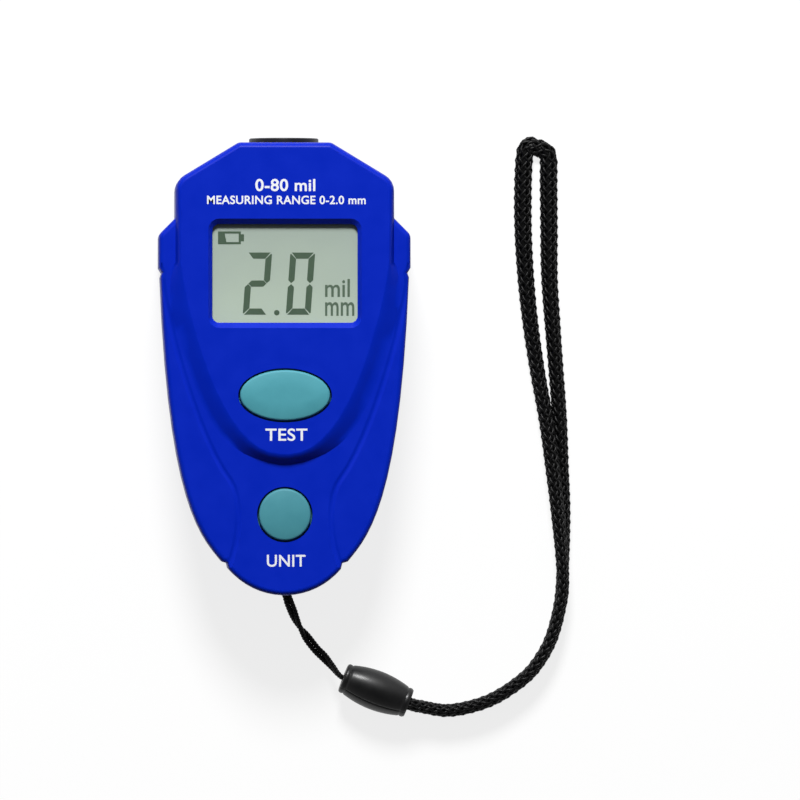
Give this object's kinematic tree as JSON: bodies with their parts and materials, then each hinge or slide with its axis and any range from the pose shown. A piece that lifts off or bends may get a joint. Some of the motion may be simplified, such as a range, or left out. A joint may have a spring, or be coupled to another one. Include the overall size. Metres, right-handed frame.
{
  "type": "coating thickness gauge",
  "caption": "Pocket coating thickness gauge with an end probe, a display window, an oval test key, a round unit key, side grips and a braided wrist lanyard.",
  "frame": {"origin": "on the table below the middle of the gauge, which lies on its back, lanyard left out", "axes": "+Z out of the display, +Y along the gauge to its probe, +X to the right of the display"},
  "size_m": [0.0937, 0.1312, 0.0259],
  "materials": {
    "case": "satin moulded ABS",
    "pane": "clear acrylic",
    "lcd": "reflective liquid crystal glass",
    "holder": "moulded",
    "zebra": "layered conductive rubber",
    "board": "solder mask on glass laminate",
    "chips": "moulded epoxy",
    "capacitor": "sleeved can",
    "metal": "nickel plated",
    "keys": "matte silicone rubber",
    "switch": "moulded",
    "plunger": "moulded",
    "probe": "satin moulded",
    "ferrite": "ground ferrite",
    "bobbin": "moulded",
    "copper": "enamelled winding",
    "leads": "insulated wire",
    "cells": "printed sleeve",
    "screws": "zinc plated",
    "cord": "braided nylon",
    "bead": "glossy moulded"
  },
  "bodies": {
    "gauge": {"front_cover": "case", "rear_cover": "case", "display_window": "pane", "lcd_panel": "lcd", "lcd_holder": "holder", "zebra_strips": "zebra", "circuit_board": "board", "controller_chip": "chips", "amplifier_chip": "chips", "smoothing_capacitor": "capacitor", "crystal_can": "metal", "test_switch": "switch", "unit_switch": "switch", "probe_sleeve": "probe", "probe_core": "ferrite", "probe_bobbin": "bobbin", "probe_coil": "copper", "probe_leads": "leads", "cell_left": "cells", "cell_right": "cells", "cell_bridge": "metal", "positive_contact": "metal", "negative_contact": "metal", "cell_spring_left": "metal", "cell_spring_right": "metal", "case_screws": "screws", "board_screws": "screws", "lanyard_loop": "cord", "bead_upper": "bead", "bead_lower": "bead", "lanyard_strap": "cord"},
    "test_button": {"test_key": "keys", "test_plunger": "plunger"},
    "unit_button": {"unit_key": "keys", "unit_plunger": "plunger"},
    "door": {"battery_door": "case"}
  },
  "joints": [
    {"name": "test_press", "type": "slide", "parent": "gauge", "child": "test_button", "axis": [0, 0, -1], "range_m": [0, 0.0006], "stiffness_N_per_m": 400, "springref_m": -0.001},
    {"name": "unit_press", "type": "slide", "parent": "gauge", "child": "unit_button", "axis": [0, 0, -1], "range_m": [0, 0.0006], "stiffness_N_per_m": 400, "springref_m": -0.001},
    {"name": "door_swing", "type": "hinge", "parent": "gauge", "child": "door", "pos_m": [0, 0.02315, 0.0018], "axis": [1, 0, 0], "range_deg": [0, 90]}
  ]
}
